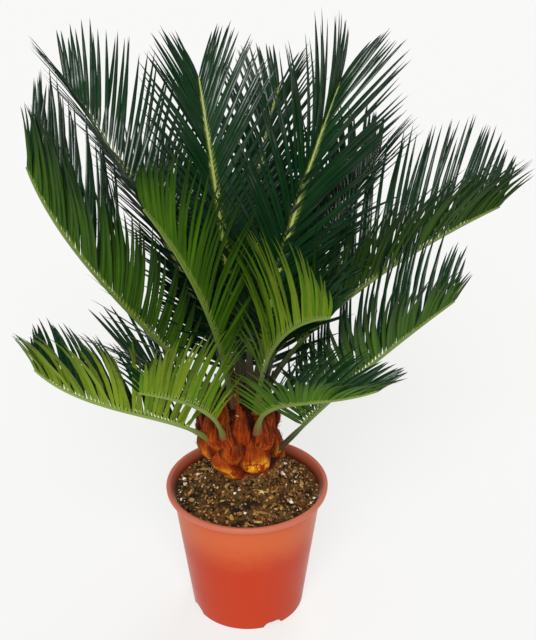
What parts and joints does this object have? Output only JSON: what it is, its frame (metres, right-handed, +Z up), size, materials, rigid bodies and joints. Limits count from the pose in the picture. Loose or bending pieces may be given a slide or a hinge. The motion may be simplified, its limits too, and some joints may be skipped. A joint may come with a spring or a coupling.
{
  "type": "potted sago palm",
  "caption": "Young sago palm with arching pinnate fronds on a felted orange-brown trunk, standing in potting mix in a round tapered plastic nursery pot.",
  "frame": {"origin": "middle of the pot's flat bottom, where it stands", "axes": "+Z up along the pot's axis, -Y towards the front of the plant, +X to its right as seen from the front"},
  "size_m": [0.4939, 0.4322, 0.6143],
  "materials": {
    "pot_plastic": "satin moulded polypropylene, terracotta orange",
    "potting_mix": "matt loose peat and bark mix with white perlite grains",
    "leaf_base_felt": "matt felted orange-brown leaf bases and scale leaves",
    "frond": "leathery leaflets, glossy dark green above, matt and paler below, on a yellow-green stalk"
  },
  "bodies": {
    "root": {"pot": "pot_plastic", "soil": "potting_mix", "caudex": "leaf_base_felt", "frond_01": "frond", "frond_02": "frond", "frond_03": "frond", "frond_04": "frond", "frond_05": "frond", "frond_06": "frond", "frond_07": "frond", "frond_08": "frond", "frond_09": "frond", "frond_10": "frond", "frond_11": "frond", "frond_12": "frond", "frond_13": "frond", "frond_14": "frond", "frond_15": "frond", "frond_16": "frond", "frond_17": "frond"}
  },
  "joints": []
}
